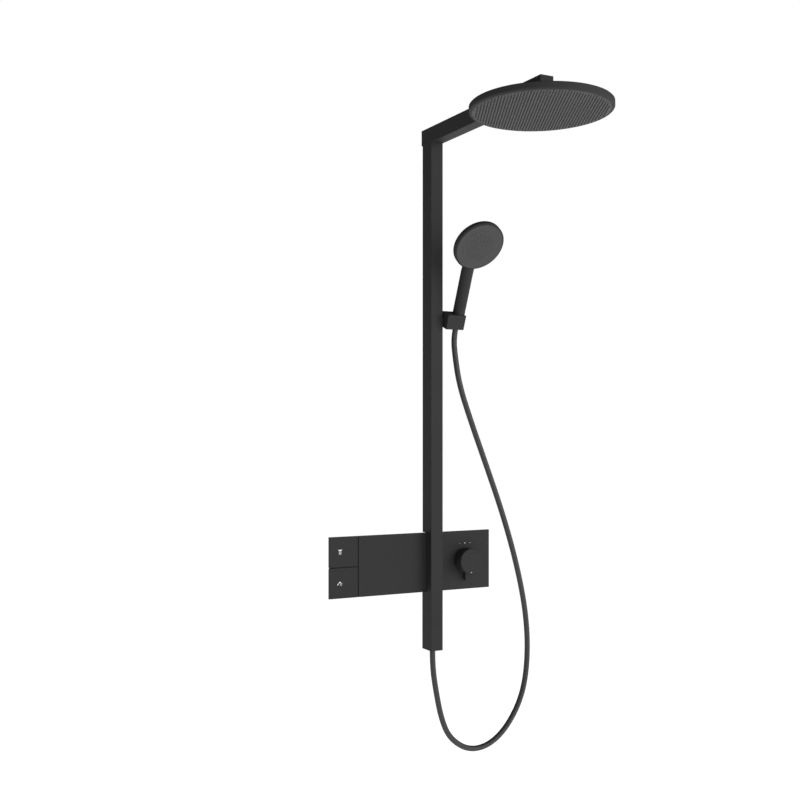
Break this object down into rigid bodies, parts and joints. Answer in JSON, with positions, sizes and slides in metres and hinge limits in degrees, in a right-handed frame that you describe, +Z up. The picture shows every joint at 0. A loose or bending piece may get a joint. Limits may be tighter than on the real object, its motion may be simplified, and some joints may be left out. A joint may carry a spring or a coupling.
{
  "type": "rainfall shower column",
  "caption": "Wall-mounted rainfall shower column with a square riser, overhead disc on an arm, hand shower on a hose, push buttons and a temperature knob.",
  "frame": {"origin": "on the wall's face, in line with the riser and at mid height of the panel, at the centre of the wall screw pattern", "axes": "+X right along the wall, +Y into the wall, +Z up; the shower reaches out along -Y"},
  "size_m": [0.5213, 0.6307, 1.4287],
  "materials": {
    "matt_black_metal": "satin powder coat",
    "matt_black_plastic": "fine matt moulding",
    "button_plastic": "fine matt moulding",
    "nozzle_silicone": "matt silicone",
    "hose_plastic": "ribbed satin plastic",
    "brass": "machined",
    "zinc_steel": "zinc plated",
    "white_plastic": "moulded",
    "seal_rubber": "matt"
  },
  "bodies": {
    "root": {"upper_riser": "matt_black_metal", "lower_column": "matt_black_metal", "shower_arm": "matt_black_metal", "arm_end_cap": "matt_black_metal", "front_plate": "matt_black_metal", "column_end_cap": "matt_black_metal", "pivot_washer": "matt_black_metal", "bracket_grub_screw": "matt_black_metal", "housing_frame": "matt_black_plastic", "button_carrier": "matt_black_plastic", "upper_wall_bracket": "zinc_steel", "mounting_plate": "zinc_steel", "valve_screws": "zinc_steel", "holder_pivot": "zinc_steel", "elbow_connector": "brass", "head_connector": "brass", "ball_stud": "brass", "riser_elbow": "brass", "outlet_elbow": "brass", "hose_outlet": "brass", "hose_nipple": "brass", "valve_block": "brass", "thermostat_cartridge": "brass", "riser_water_tube": "white_plastic", "arm_water_tube": "white_plastic", "lower_water_tube": "white_plastic", "non_return_valves": "white_plastic", "overhead_cartridge": "white_plastic", "handshower_cartridge": "white_plastic", "wall_seal": "seal_rubber", "shower_hose": "hose_plastic", "hose_nut": "hose_plastic"},
    "lower_seat": {"seat_lower": "white_plastic"},
    "upper_seat": {"seat_upper": "white_plastic"},
    "overhead_head": {"ball_collar": "matt_black_metal", "head_top_shell": "matt_black_metal", "head_rim": "matt_black_plastic", "spray_plate": "nozzle_silicone", "distributor_plate": "white_plastic", "head_seal": "seal_rubber", "collar_screws": "zinc_steel"},
    "overhead_push": {"overhead_button": "button_plastic", "overhead_stem": "white_plastic"},
    "handshower_push": {"handshower_button": "button_plastic", "handshower_stem": "white_plastic"},
    "knob": {"temperature_knob": "matt_black_metal", "knob_lever": "matt_black_plastic", "thermostat_spindle": "brass"},
    "stop": {"stop_button": "matt_black_plastic"},
    "holder": {"holder_block": "matt_black_plastic"},
    "hand_shower": {"handset_shell": "matt_black_plastic", "handset_face": "matt_black_plastic", "handset_nozzle_disc": "nozzle_silicone", "handset_inlet": "brass", "handset_water_tube": "white_plastic", "hose_cone_nut": "hose_plastic"}
  },
  "joints": [
    {"name": "overhead_button_press", "type": "slide", "parent": "root", "child": "overhead_push", "axis": [0, 1, 0], "range_m": [0, 0.003], "stiffness_N_per_m": 800, "springref_m": -0.002},
    {"name": "handshower_button_press", "type": "slide", "parent": "root", "child": "handshower_push", "axis": [0, 1, 0], "range_m": [0, 0.003], "stiffness_N_per_m": 800, "springref_m": -0.002},
    {"name": "temperature_turn", "type": "hinge", "parent": "root", "child": "knob", "pos_m": [0.086, -0.04, 0], "axis": [0, -1, 0], "range_deg": [-110, 110]},
    {"name": "stop_button_press", "type": "slide", "parent": "knob", "child": "stop", "axis": [0, 0, -1], "range_m": [0, 0.001], "stiffness_N_per_m": 1500, "springref_m": -0.001},
    {"name": "head_tilt", "type": "hinge", "parent": "root", "child": "lower_seat", "pos_m": [0, -0.4485, 0.93], "axis": [1, 0, 0], "range_deg": [-3.3, 5.7]},
    {"name": "head_lean", "type": "hinge", "parent": "lower_seat", "child": "upper_seat", "pos_m": [0, -0.4485, 0.93], "axis": [0, 0.9998, -0.0209], "range_deg": [-4.5, 4.5]},
    {"name": "head_turn", "type": "hinge", "parent": "upper_seat", "child": "overhead_head", "pos_m": [0, -0.4485, 0.93], "axis": [0, 0.0209, 0.9998], "continuous": true},
    {"name": "holder_tilt", "type": "hinge", "parent": "root", "child": "holder", "pos_m": [0.034, -0.03834, 0.54989], "axis": [1, 0, 0], "range_deg": [-12, 15], "deforming": ["shower_hose"]},
    {"name": "handset_lift", "type": "slide", "parent": "holder", "child": "hand_shower", "axis": [0, -0.3778, 0.9259], "range_m": [0, 0.05]}
  ]
}
